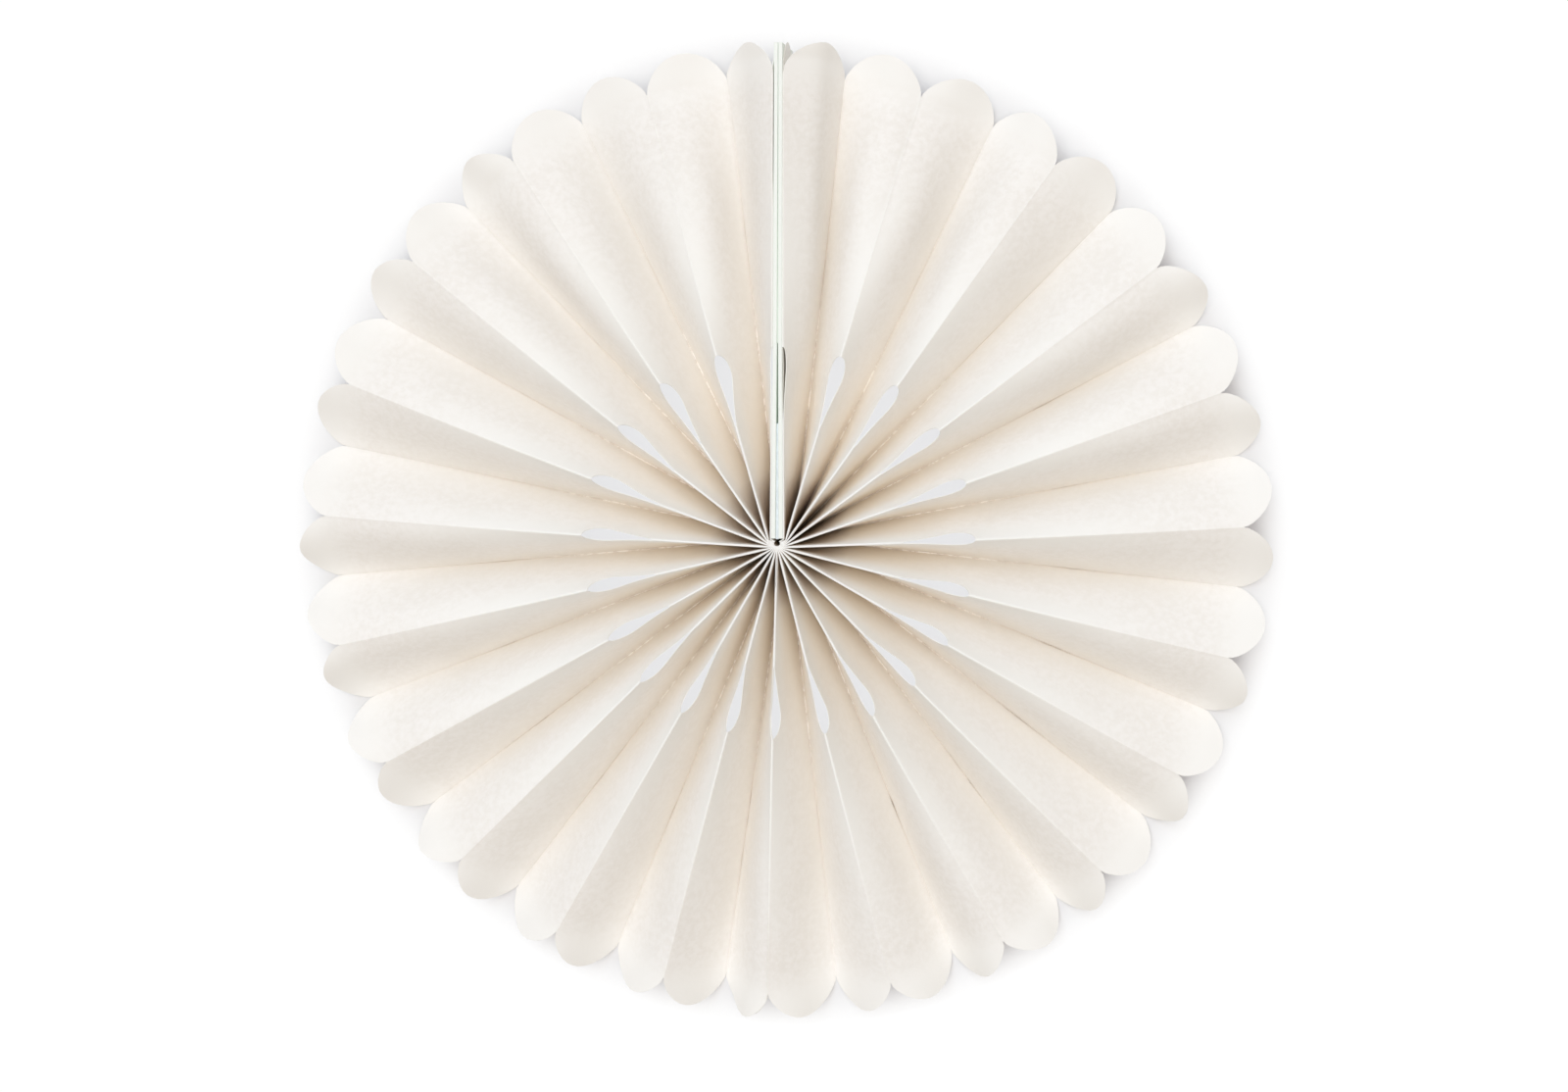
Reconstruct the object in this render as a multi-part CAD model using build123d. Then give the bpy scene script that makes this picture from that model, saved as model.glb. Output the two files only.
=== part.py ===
from build123d import *
import math
import os

os.makedirs("parts", exist_ok=True)

# Lengths are millimetres and angles degrees, clockwise from the seam as seen from the front.
# The fan lies face up on the plane z = 0, its hub on the Z axis and its seam towards +Y.
fan_radius = 125.0
panels_per_side = 22
pleat_width = 20.8
paper = 0.16
scallop_height = 8.5
hub_radius = 2.2
fold_half = 0.35
glue = 0.02

# How the pleats share the circle: they lie wider apart near the seam and close up opposite it.
crowding = 6.1
seam_pull = 3.3
seam_fade = 1.5

# The first back folds are lifted off the ground by the cards; the lift dies out along the rim.
seam_lift = 4.9
lift_fade = 2.0

# Creases run between a straight line and the curve that panels of constant width would give them.
straightness = 0.3
width_in_use = 0.985
steepest = 0.85

# Half a teardrop is punched into every front fold.
tear_point = 31.8
tear_centre = 44.6
tear_radius = 5.1

# The two stiff end cards stand back to back in the seam and part towards the hub.
card_thickness = 1.1
card_end_inset = 1.0
half_gap_hub = 0.68
half_gap_bend = 0.12
half_gap_rim = 0.03
bend_at = 52.0

# Tape between the cards: a thin film out to the rim and a foam pad near the hub.
film_start = 50.0
film_edge_inset = 0.5
pad_start = 2.0
pad_end = 30.0
pad_edge_inset = 0.4

# The overlap that joins the two half sheets opposite the seam.
flap_clear = 8.0
flap_short = 1.2
flap_glue = 0.05
flap_slip = 0.8

# Where cross sections are taken, from the hub at 0 to the notches at 1; the flap starts at the second.
stations = [0.0, 0.07, 0.2, 0.38, 0.62, 0.88, 1.1]
notch_radius = fan_radius - scallop_height
scallop_radius = (pleat_width**2 / 4 + scallop_height**2) / (2 * scallop_height)
scallop_end = math.degrees(math.asin(1 - scallop_height / scallop_radius))
beyond = 2.0


def half_gap(y):
    # Half of the gap between the two cards.
    if y < bend_at:
        share = (y - hub_radius) / (bend_at - hub_radius)
        return half_gap_hub + (half_gap_bend - half_gap_hub) * share
    share = (y - bend_at) / (fan_radius - bend_at)
    return half_gap_bend + (half_gap_rim - half_gap_bend) * share


def card_face(y):
    return half_gap(y) + card_thickness


def seam_x(y, half):
    # Where the first front fold runs, with the end panel glued on the card inside it.
    return card_face(y) + glue + paper / 2 + half


first_angle = math.degrees(math.asin(min(0.95, seam_x(hub_radius, 0.1) / hub_radius)))
hub_pitch = math.radians(180.0 - first_angle) * hub_radius / panels_per_side


def fold_at(u):
    # Folds are pinched at the hub and reach their full width a little way out.
    return min(fold_half, hub_pitch / 2 + 4.0 * u)


def azimuth(crease):
    even = crease * 180.0 / panels_per_side
    return even + crowding * math.sin(math.radians(even)) - seam_pull * math.exp(-crease / seam_fade)


def plan(crease, u):
    # Plan position of a crease, from the hub at u = 0 to the notch at u = 1.
    if crease == 0:
        start = hub_radius * math.cos(math.radians(first_angle))
        y = start + (notch_radius - start) * u
        return Vector(seam_x(max(y, hub_radius), fold_at(u)), y)
    inner = math.radians(first_angle + (180.0 - first_angle) * crease / panels_per_side)
    outer = math.radians(azimuth(crease))
    near = Vector(math.sin(inner), math.cos(inner)) * hub_radius
    far = Vector(math.sin(outer), math.cos(outer)) * notch_radius
    return near + (far - near) * u


def rim_pitch(panel):
    return (plan(panel, 1.0) - plan(panel - 1, 1.0)).length


def back_rim(crease):
    # Height of a back fold at the rim.
    return seam_lift * math.exp(-(crease - 1) / lift_fade)


def front_rim(crease):
    # Height of a front fold at the rim, from the width its two panels have left.
    if crease == 0:
        return pleat_width
    sides = [crease] if crease == panels_per_side else [crease, crease + 1]
    backs = [crease - 1] if crease == panels_per_side else [crease - 1, crease + 1]
    pitch = sum(rim_pitch(p) for p in sides) / len(sides)
    lift = sum(back_rim(c) for c in backs) / len(backs)
    return lift + math.sqrt(max((pleat_width * width_in_use) ** 2 - pitch**2, 4.0))


def settle(u):
    # Share of its change in height that a crease has made at u.
    if u > 1.0:
        round_part = 1.0 + 1.5 * (u - 1.0)
    else:
        round_part = (1 - math.sqrt(1 - (steepest * u) ** 2)) / (1 - math.sqrt(1 - steepest**2))
    return (1 - straightness) * round_part + straightness * u**1.6


def height(crease, u):
    if crease % 2:
        return back_rim(crease) * settle(u)
    return pleat_width - (pleat_width - front_rim(crease)) * settle(u)


def panel_corners(panel, u, drop=0.0, shorten=0.0):
    # Front and back fold corner of one flat panel, on its front face and then on its back face.
    front_fold = panel - 1 if panel % 2 else panel
    back_fold = panel if panel % 2 else panel - 1
    a, b = plan(front_fold, u), plan(back_fold, u)
    pitch = (b - a).length
    across = (b - a).normalized()
    half = min(fold_at(u), pitch / 2)
    # In the section X runs level from the front fold and Y is the height.
    upper = Vector(half, height(front_fold, u) - paper / 2)
    lower = Vector(pitch - half, height(back_fold, u) + paper / 2)
    lean = math.atan2(upper.Y - lower.Y, lower.X - upper.X)
    out = Vector(math.sin(lean), math.cos(lean))
    lower -= Vector(math.cos(lean), -math.sin(lean)) * shorten
    skin = out if drop else Vector(math.tan(lean / 2), 1.0)
    faces = []
    for side in (0.5, -0.5):
        points = [corner - out * drop + skin * (side * paper) for corner in (upper, lower)]
        spots = [a + across * p.X for p in points]
        faces.append([Vector(s.X, s.Y, p.Y) for s, p in zip(spots, points)])
    return faces


def sheet_section(u):
    # The whole zigzag of one half sheet: its front face from the card round, then its back face.
    fold = plan(0, u)
    card_side = fold.X - fold_at(u) - paper / 2
    fan_side = card_side + paper
    front = [Vector(card_side, fold.Y, 0), Vector(card_side, fold.Y, pleat_width)]
    back = [Vector(fan_side, fold.Y, 0), Vector(fan_side, fold.Y, pleat_width - paper)]
    for panel in range(1, panels_per_side + 1):
        order = 1 if panel % 2 else -1
        front_face, back_face = panel_corners(panel, u)
        front += front_face[::order]
        back += back_face[::order]
    last = plan(panels_per_side, u)
    top = height(panels_per_side, u)
    return front + [Vector(0, last.Y, top)], back + [Vector(0, last.Y, top - paper)]


def flap_section(u):
    # The glue flap: over the last front fold and tucked close behind the panel it joins.
    last = plan(panels_per_side, u)
    top = height(panels_per_side, u)
    front_face, back_face = panel_corners(panels_per_side, u, paper + flap_glue, flap_short)
    turn = max(front_face[0].X - 0.1, 0.1)
    front = [Vector(0, last.Y, top), Vector(turn, last.Y, top)]
    back = [Vector(0, last.Y, top - paper), Vector(turn / 2, last.Y, top - paper)]
    return front + front_face, back + back_face


def flat_face(*points):
    return Face(Wire.make_polygon(points))


def folded(sections):
    # A folded sheet through its sections, each given as its front face and then its back face.
    # Every stretch is split so that all faces are flat, and panels bow forward as real ones do.
    faces = []
    for near, far in zip(sections, sections[1:]):
        for i in range(1, len(near[0])):
            falls = near[0][i - 1].Z > near[0][i].Z
            for near_row, far_row in zip(near, far):
                p, q, r, s = near_row[i - 1], near_row[i], far_row[i], far_row[i - 1]
                halves = [(p, q, r), (p, r, s)] if falls else [(p, q, s), (q, r, s)]
                faces += [flat_face(*points) for points in halves]
        for end in (0, -1):
            p, q, r, s = near[0][end], near[1][end], far[1][end], far[0][end]
            faces += [flat_face(p, q, r), flat_face(p, r, s)]
    for front, back in (sections[0], sections[-1]):
        for i in range(1, len(front)):
            faces.append(flat_face(front[i - 1], front[i], back[i]))
            faces.append(flat_face(front[i - 1], back[i], back[i - 1]))
    return Solid(Shell(faces))


def loop_face(edges, points):
    return Face(Wire(edges + [Edge.make_line(p, q) for p, q in zip(points, points[1:])]))


def scallop(start, end, reach):
    # Arc over one panel from notch to notch: round on the flat sheet, squeezed here by the panel's lean.
    half = (end - start) * 0.5
    wide = half.length / math.cos(math.radians(scallop_end))
    deep = reach.length / (1 - math.sin(math.radians(scallop_end)))
    centre = (start + end) * 0.5 - reach * (deep / reach.length - 1)
    plane = Plane(origin=centre, x_dir=half * -1, z_dir=reach.cross(half))
    return Edge.make_ellipse(wide, deep, plane, scallop_end, 180 - scallop_end)


def scalloped_outline():
    # Upright block over the right half of the fan, with one scallop for each panel.
    down = Vector(0, 0, -1)
    notches = [plan(crease, 1.0) for crease in range(panels_per_side + 1)]
    arcs = []
    for start, end in zip(notches, notches[1:]):
        outward = Vector(start.Y - end.Y, end.X - start.X).normalized()
        depth = fan_radius - ((start + end) * 0.5).length
        arcs.append(scallop(start + down, end + down, outward * depth))
    far = fan_radius + beyond
    opposite, seam = notches[-1], notches[0]
    corners = [
        Vector(opposite.X, opposite.Y, -1), Vector(-1, opposite.Y, -1), Vector(-1, far, -1),
        Vector(seam.X, far, -1), Vector(seam.X, seam.Y, -1),
    ]
    return Solid.extrude(loop_face(arcs, corners), Vector(0, 0, pleat_width + 2))


def end_scallop():
    # What the scallop takes off the upright end panel beside the seam.
    far = fan_radius + beyond
    low, high = Vector(-1, notch_radius, 0), Vector(-1, notch_radius, pleat_width)
    above = Vector(0, 0, 1)
    corners = [high, high + above, Vector(-1, far, pleat_width + 1), Vector(-1, far, -1), low - above, low]
    block = loop_face([scallop(low, high, Vector(0, scallop_height, 0))], corners)
    return Solid.extrude(block, Vector(plan(0, 1.0).X + 1, 0, 0))


def tear_tool(crease, slip=0.0):
    # Whole teardrop centred on a front fold, punched level through the pleat.
    run = (plan(crease, 1.0) - plan(crease, 0.0)).length
    u_mid = (tear_centre - slip - hub_radius) / run
    u_tip = (tear_point - slip - hub_radius) / run
    centre = plan(crease, u_mid) + Vector(0, 0, height(crease, u_mid))
    point = plan(crease, u_tip) + Vector(0, 0, height(crease, u_tip))
    along = (centre - point).normalized()
    through = Vector(along.Y, -along.X, 0).normalized()
    reach = 0.62 * rim_pitch(max(crease, 1)) * u_mid
    plane = Plane(origin=centre - through * reach, x_dir=along, z_dir=through)
    length = (centre - point).length
    lean = math.asin(min(tear_radius / length, 0.9))
    back, rise = -tear_radius * math.sin(lean), tear_radius * math.cos(lean)
    corners = [(-length, 0), (back, rise), (tear_radius, 0), (back, -rise)]
    w = [plane.from_local_coords(Vector(*c)) for c in corners]
    arc = Edge.make_three_point_arc(w[1], w[2], w[3])
    return Solid.extrude(loop_face([arc], [w[3], w[0], w[1]]), through * (2 * reach))


def one_solid(shape):
    return max(shape.solids(), key=lambda s: s.volume)


def half_sheet():
    # One half sheet from its end panel round to the fold opposite the seam, cut out and punched.
    ribbon = folded([sheet_section(u) for u in stations])
    cut_out = one_solid(ribbon.intersect(scalloped_outline()))
    tears = [tear_tool(crease) for crease in range(0, panels_per_side + 1, 2)]
    return one_solid(cut_out.cut(end_scallop(), *tears))


def splice_flap():
    # Modelled over the last panel on the right, then mirrored across to the far side of the fold.
    ribbon = folded([flap_section(u) for u in stations[1:]])
    trimmed = one_solid(ribbon.intersect(scalloped_outline()))
    return one_solid(trimmed.cut(tear_tool(panels_per_side, flap_slip))).mirror(Plane.YZ)


def seam_slab(y_from, y_to, inner, outer, low, high):
    # Upright slab in the seam, bent in plan where the cards part.
    ys = [y_from] + [y for y in (bend_at,) if y_from < y < y_to] + [y_to]
    outline = [Vector(inner(y), y, low) for y in ys] + [Vector(outer(y), y, low) for y in reversed(ys)]
    return Solid.extrude(Face(Wire.make_polygon(outline)), Vector(0, 0, high - low))


# Paper: both half sheets have the same pleats; the right one carries the glue flap.
pleated = half_sheet()
sheet_right = one_solid(pleated.fuse(splice_flap()))
sheet_left = pleated.mirror(Plane.YZ)
butt = Box(2, fan_radius + 2, pleat_width + 2, align=(Align.MIN, Align.MAX, Align.MIN))
sheet_left = sheet_left.cut(Pos(-glue, 0, -1) * butt)
sheet_left = one_solid(sheet_left.cut(Pos(-fold_half, -flap_clear, -1) * butt))

# Cards, reaching from the hub almost to the scallop tips.
card_from = hub_radius * math.cos(math.radians(first_angle)) + 0.2
card_to = fan_radius - card_end_inset
card_right = seam_slab(card_from, card_to, half_gap, card_face, 0.0, pleat_width)
card_left = card_right.mirror(Plane.YZ)


def tape_side(y):
    return half_gap(y) - glue / 2


def tape_far_side(y):
    return -tape_side(y)


rim_film = seam_slab(
    film_start, card_to - film_edge_inset, tape_far_side, tape_side,
    film_edge_inset, pleat_width - film_edge_inset,
)
hub_pad = seam_slab(
    pad_start, pad_end, tape_far_side, tape_side,
    pad_edge_inset, pleat_width - pad_edge_inset,
)

for name, piece in [
    ("paper_sheet_right", sheet_right),
    ("paper_sheet_left", sheet_left),
    ("card_right", card_right),
    ("card_left", card_left),
    ("rim_film", rim_film),
    ("hub_pad", hub_pad),
]:
    piece.label = name
    export_step(piece, f"parts/{name}.step")
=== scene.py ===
import math
from itertools import accumulate
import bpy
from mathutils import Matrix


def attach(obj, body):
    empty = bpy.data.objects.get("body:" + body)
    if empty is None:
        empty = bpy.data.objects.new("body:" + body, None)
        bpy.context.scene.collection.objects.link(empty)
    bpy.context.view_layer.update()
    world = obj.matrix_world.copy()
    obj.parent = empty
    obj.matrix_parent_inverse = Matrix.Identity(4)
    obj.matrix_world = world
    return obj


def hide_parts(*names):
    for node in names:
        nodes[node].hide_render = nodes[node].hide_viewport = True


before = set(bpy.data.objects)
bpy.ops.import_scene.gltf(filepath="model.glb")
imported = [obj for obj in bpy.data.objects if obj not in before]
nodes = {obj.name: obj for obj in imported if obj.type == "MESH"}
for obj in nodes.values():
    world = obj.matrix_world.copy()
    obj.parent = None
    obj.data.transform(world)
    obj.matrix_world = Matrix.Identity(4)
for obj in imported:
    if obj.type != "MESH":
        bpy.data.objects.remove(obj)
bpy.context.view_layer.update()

from types import SimpleNamespace
import bpy
import bmesh
from mathutils import Vector, Quaternion

print("frame loaded:", ", ".join(sorted(nodes)))

mm = 0.001  # sizes below are in millimetres, Blender's in metres
degree = math.radians(1.0)
white = (1.0, 1.0, 1.0, 1.0)

# helpers for node trees


class nodeNumber:
    # a number socket in a node tree; + - * / ** between these place Math nodes
    def __init__(self, tree, socket):
        self.tree = tree
        self.socket = socket

    def through(self, operation, *others):
        node = self.tree.nodes.new("ShaderNodeMath")
        node.operation = operation
        for index, item in enumerate((self,) + others):
            feed(self.tree, item, node.inputs[index])
        return nodeNumber(self.tree, node.outputs[0])

    def __add__(self, other):
        return self.through("ADD", other)

    def __sub__(self, other):
        return self.through("SUBTRACT", other)

    def __rsub__(self, other):
        return asNumber(self.tree, other).through("SUBTRACT", self)

    def __mul__(self, other):
        return self.through("MULTIPLY", other)

    def __truediv__(self, other):
        return self.through("DIVIDE", other)

    def __pow__(self, other):
        return self.through("POWER", other)

    def __neg__(self):
        return self.through("MULTIPLY", -1.0)

    __radd__ = __add__
    __rmul__ = __mul__


def feed(tree, item, socket):
    # the item is a number of the tree, an output socket or a plain value
    if isinstance(item, nodeNumber):
        tree.links.new(item.socket, socket)
    elif hasattr(item, "is_output"):
        tree.links.new(item, socket)
    else:
        socket.default_value = item


def asNumber(tree, value):
    node = tree.nodes.new("ShaderNodeValue")
    node.outputs[0].default_value = value
    return nodeNumber(tree, node.outputs[0])


def numbersFrom(tree, node, *names):
    return [nodeNumber(tree, node.outputs[name]) for name in names]


def sine(x):
    return x.through("SINE")


def cosine(x):
    return x.through("COSINE")


def root(x):
    return x.through("MAXIMUM", 0.0).through("SQRT")


def distance(x, y):
    return root(x ** 2.0 + y ** 2.0)


def least(a, b):
    return a.through("MINIMUM", b)


def most(a, b):
    return a.through("MAXIMUM", b)


def floored(x):
    return x.through("FLOOR")


def within(x):
    return least(most(x, 0.0), 1.0)


def ramp(x, start, end):
    # 0 where x is at start, 1 where it is at end, and held beyond both
    return within((x - start) / (end - start))


def above(a, b):
    return a.through("GREATER_THAN", b)


def near(a, b):
    return a.through("COMPARE", b, 0.1)


def isOdd(x):
    return near(most(x, -x).through("MODULO", 2.0), 1.0)


def pick(share, no, yes):
    return no + (yes - no) * share


def splitPlace(tree, vector):
    node = tree.nodes.new("ShaderNodeSeparateXYZ")
    feed(tree, vector, node.inputs[0])
    return numbersFrom(tree, node, "X", "Y", "Z")


def joinPlace(tree, *parts):
    node = tree.nodes.new("ShaderNodeCombineXYZ")
    for index, part in enumerate(parts):
        feed(tree, part, node.inputs[index])
    return node.outputs[0]


def objectPlace(tree):
    return tree.nodes.new("ShaderNodeTexCoord").outputs["Object"]


def placeGroup(tree, group, **inputs):
    node = tree.nodes.new("GeometryNodeGroup" if tree.bl_idname == "GeometryNodeTree" else "ShaderNodeGroup")
    node.node_tree = group
    for name, item in inputs.items():
        feed(tree, item, node.inputs[name])
    return node


def newGroup(name, kind, inputs, outputs):
    tree = bpy.data.node_groups.new(name, kind)
    for socketName, socketKind, value in inputs:
        socket = tree.interface.new_socket(socketName, in_out="INPUT", socket_type=socketKind)
        if value is not None:
            socket.default_value = value
    for socketName, socketKind in outputs:
        tree.interface.new_socket(socketName, in_out="OUTPUT", socket_type=socketKind)
    return tree, tree.nodes.new("NodeGroupInput"), tree.nodes.new("NodeGroupOutput")


def newMaterial(name, roughness):
    material = bpy.data.materials.new(name)
    material.use_nodes = True
    tree = material.node_tree
    shader = tree.nodes["Principled BSDF"]
    shader.inputs["Roughness"].default_value = roughness
    return material, tree, shader


def mixColours(tree, share, first, second):
    node = tree.nodes.new("ShaderNodeMix")
    node.data_type = "RGBA"
    colourInputs = [i for i in node.inputs if i.type == "RGBA"]
    feed(tree, share, node.inputs["Factor"])
    feed(tree, first, colourInputs[0])
    feed(tree, second, colourInputs[1])
    return [o for o in node.outputs if o.type == "RGBA"][0]


def addBump(tree, shader, height, strength, depth):
    bump = tree.nodes.new("ShaderNodeBump")
    bump.inputs["Strength"].default_value = strength
    bump.inputs["Distance"].default_value = depth
    feed(tree, height, bump.inputs["Height"])
    feed(tree, bump.outputs["Normal"], shader.inputs["Normal"])


def readAttribute(tree, name):
    node = tree.nodes.new("ShaderNodeAttribute")
    node.attribute_name = name
    return nodeNumber(tree, node.outputs["Fac"])


# the grain that paper, board and tape share

grainLook = {
    "fibreScale": 650.0,
    "fibreDetail": 5.0,
    "fibreRoughness": 0.65,
    "fibreShare": 4.5,
    "cloudScale": 80.0,
    "cloudDetail": 3.0,
    "cloudShare": 1.2,
}


def makePaperGrain():
    # fibres and cloudy mottling of uncoated paper
    tree, inside, outside = newGroup(
        "paperGrain", "ShaderNodeTree",
        [
            ("Fibre Scale", "NodeSocketFloat", grainLook["fibreScale"]),
            ("Cloud Scale", "NodeSocketFloat", grainLook["cloudScale"]),
        ],
        [("Tone", "NodeSocketFloat"), ("Height", "NodeSocketFloat")],
    )
    fibre, cloud = [tree.nodes.new("ShaderNodeTexNoise") for _ in range(2)]
    fibre.inputs["Detail"].default_value = grainLook["fibreDetail"]
    fibre.inputs["Roughness"].default_value = grainLook["fibreRoughness"]
    cloud.inputs["Detail"].default_value = grainLook["cloudDetail"]
    place = objectPlace(tree)
    for node, name in ((fibre, "Fibre Scale"), (cloud, "Cloud Scale")):
        feed(tree, place, node.inputs["Vector"])
        feed(tree, inside.outputs[name], node.inputs["Scale"])
    fine, broad = (nodeNumber(tree, node.outputs["Fac"]) for node in (fibre, cloud))
    tone = within((fine - 0.5) * grainLook["fibreShare"] + (broad - 0.5) * grainLook["cloudShare"] + 0.5)
    feed(tree, tone, outside.inputs["Tone"])
    feed(tree, fine, outside.inputs["Height"])
    return tree


grain = makePaperGrain()
print("paper grain made")

# the folded paper

# millimetres and degrees: what shapes every pleat
paperSizes = {
    "fanRadius": 125.0,
    "panelsPerSide": 22.0,
    "pleatWidth": 20.8,  # on the slope, from fold to fold
    "paperThickness": 0.16,
    "scallopHeight": 8.5,
    "hubRadius": 2.2,
    "crowding": 6.1,  # the folds crowd towards the side opposite the seam
    "seamPull": 3.3,  # those beside the seam are drawn to it
    "seamFade": 1.5,
    "seamLift": 4.9,  # and their back folds stand off the table at the rim
    "liftFade": 2.0,
    "straightness": 0.3,  # how the front folds come down from hub to rim
    "steepest": 0.85,
    "settlePower": 1.6,
    "scallopFall": 1.5,
    "widthInUse": 0.985,
    "tearPoint": 31.8,  # the teardrop holes, from their point to their round end
    "tearCentre": 44.6,
    "tearRadius": 5.1,
    "biteShare": 0.84,
    "seamBite": 0.3,
    "seamStart": 1.98,  # the fold beside the seam and the face of the card there
    "cardFaceHub": 1.42,
    "cardFaceBend": 1.14,
    "cardFaceRim": 1.05,
    "bendAt": 52.0,
    "foldHalf": 0.35,  # half widths of the rounded folds
    "foldSeam": 0.12,
    "foldInner": 0.2,
    "foldOuter": 0.18,
    "foldBackOuter": 0.06,
    "innerReach": 0.8,
    "bowShare": 0.95,
    "bowLeast": 0.01,
    "bowMost": 0.3,
    "bendAcross": 0.45,
    "waviness": 0.5,
    "footPress": 0.3,
    "swayOpposite": 1.4,  # the folds opposite the seam are pushed to one side
    "swayRight": 14.0,
    "swayLeft": 5.0,
    "flapDrop": 0.21,  # the overlap panel under the other sheet's last one
    "flapShort": 1.2,
    "flapSlip": 0.8,
}

# the round of a fold, as shares of its half width, and how that width grows from the hub outwards
foldSection = {"flat": 0.35, "shoulder": 0.92, "drop": 0.4, "atHub": 0.1, "growth": 4.0}

# parts of the way from the hub, 0, to the notches, 1, over which something comes in
paperPlaces = {
    "foldNarrows": (0.42, 0.52),
    "backNarrows": (0.3, 0.6),
    "bowComes": (0.4, 0.75),
    "footComes": (0.45, 1.0),
    "bendComes": (0.3, 0.6),
    "peelComes": (0.72, 0.84),
    "peelGoes": (1.06, 1.0),
}

# how each panel differs from the next: the lowest and highest number, and what sets its draw apart
panelMoods = {"bow": (0.2, 1.3, 0.0), "foot": (-0.4, 1.4, 100.0)}
rippleLook = {"perPanel": 5.7, "perSheet": 31.0, "along": 3.5, "across": 1.2}

# rows of the mesh from the hub outwards, and columns across each panel
paperRows = {"toHub": 3, "toTear": 20, "tear": 18, "toNotch": 26, "scallop": 8}
hubRow, tipRow, tearRow, notchRow, endRow = (float(end) for end in accumulate(paperRows.values()))
flapFirstRow = hubRow + 6.0
columnsPerPanel = 17.0
sharpEdge = 58.0  # degrees; only the cut edges are sharper


# in the functions below s holds the sizes, p says where on which panel a point is, u and along run
# from the hub, 0, to the notches, 1, the first stopping there, and q runs down the slope of a panel


def sizeSockets():
    return [(name, "NodeSocketFloat", value) for name, value in paperSizes.items()]


def sizesFrom(tree, groupInput):
    return {name: nodeNumber(tree, groupInput.outputs[name]) for name in paperSizes}


def askCrease(tree, group, sizes, crease, along):
    # what one of the two crease groups says of a crease at one place along it
    node = placeGroup(tree, group, Crease=crease, Along=along)
    for name, size in sizes.items():
        feed(tree, size, node.inputs[name])
    return [nodeNumber(tree, output) for output in node.outputs]


def panelOf(column):
    # a hair is added, so that a whole number isn't floored to the one below it
    return floored(column / columnsPerPanel + 0.001)


def foldRoom(u):
    # the most that half a fold's width can be here
    return u * foldSection["growth"] + foldSection["atHub"]


def newCreaseGroup(name, outputNames):
    tree, inside, outside = newGroup(
        name, "GeometryNodeTree",
        [("Crease", "NodeSocketFloat", 1.0), ("Along", "NodeSocketFloat", 0.0)] + sizeSockets(),
        [(outputName, "NodeSocketFloat") for outputName in outputNames],
    )
    crease, along = numbersFrom(tree, inside, "Crease", "Along")
    return tree, outside, sizesFrom(tree, inside), crease, along


def makeCreasePlan():
    # plan position of one crease: straight from the hub to its notch at the rim
    tree, outside, s, crease, u = newCreaseGroup("creasePlan", ("X", "Y"))
    notch = s["fanRadius"] - s["scallopHeight"]
    share = crease / s["panelsPerSide"]
    even = share * math.pi
    pull = s["seamPull"] * (-crease / s["seamFade"]).through("EXPONENT")
    outer = even + (s["crowding"] * sine(even) - pull) * degree
    firstAngle = (s["seamStart"] / s["hubRadius"]).through("ARCSINE")
    inner = pick(share, firstAngle, asNumber(tree, math.pi))
    x = pick(u, sine(inner) * s["hubRadius"], sine(outer) * notch)
    y = pick(u, cosine(inner) * s["hubRadius"], cosine(outer) * notch)
    # the first front fold runs beside the card
    seamY = pick(u, cosine(firstAngle) * s["hubRadius"], notch)
    toBend = ramp(seamY, s["hubRadius"], s["bendAt"])
    toRim = ramp(seamY, s["bendAt"], s["fanRadius"])
    cardFace = pick(toRim, pick(toBend, s["cardFaceHub"], s["cardFaceBend"]), s["cardFaceRim"])
    seamX = cardFace + s["paperThickness"] / 2 + least(s["foldSeam"], foldRoom(u))
    first = near(crease, 0.0)
    feed(tree, pick(first, x, seamX), outside.inputs["X"])
    feed(tree, pick(first, y, seamY), outside.inputs["Y"])
    return tree


def makeCreaseHeight(creasePlan):
    # height of one crease: even ones are front folds, odd ones lie on the ground
    tree, outside, s, crease, u = newCreaseGroup("creaseHeight", ("Height",))
    hereX, hereY = askCrease(tree, creasePlan, s, crease, 1.0)

    def pitchTo(neighbour):
        thereX, thereY = askCrease(tree, creasePlan, s, neighbour, 1.0)
        return distance(hereX - thereX, hereY - thereY)

    def backRim(number):
        return s["seamLift"] * ((1.0 - number) / s["liftFade"]).through("EXPONENT")

    last = near(crease, s["panelsPerSide"])
    before, after = pitchTo(crease - 1.0), pitchTo(crease + 1.0)
    liftBefore, liftAfter = backRim(crease - 1.0), backRim(crease + 1.0)
    pitch = pick(last, (before + after) / 2, before)
    lift = pick(last, (liftBefore + liftAfter) / 2, liftBefore)
    frontRim = lift + root((s["pleatWidth"] * s["widthInUse"]) ** 2.0 - pitch ** 2.0)
    frontRim = pick(near(crease, 0.0), frontRim, s["pleatWidth"])
    steep = s["steepest"]
    curve = (1.0 - root(1.0 - (steep * least(u, 1.0)) ** 2.0)) / (1.0 - root(1.0 - steep ** 2.0))
    curve = curve + most(u - 1.0, 0.0) * s["scallopFall"]
    settle = pick(s["straightness"], curve, u ** s["settlePower"])
    front = pick(settle, s["pleatWidth"], frontRim)
    feed(tree, pick(isOdd(crease), front, backRim(crease) * settle), outside.inputs["Height"])
    return tree


def makeGrid(tree, columns):
    # a flat grid, with each point's column and row as it will be in the sheet
    grid = tree.nodes.new("GeometryNodeMeshGrid")
    grid.inputs["Size X"].default_value = 1.0
    grid.inputs["Size Y"].default_value = 1.0
    feed(tree, columns, grid.inputs["Vertices X"])
    grid.inputs["Vertices Y"].default_value = int(endRow) + 1
    x, y, _ = splitPlace(tree, tree.nodes.new("GeometryNodeInputPosition").outputs[0])
    return grid.outputs["Mesh"], (x + 0.5) * (columns - 1.0), (y + 0.5) * endRow


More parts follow.
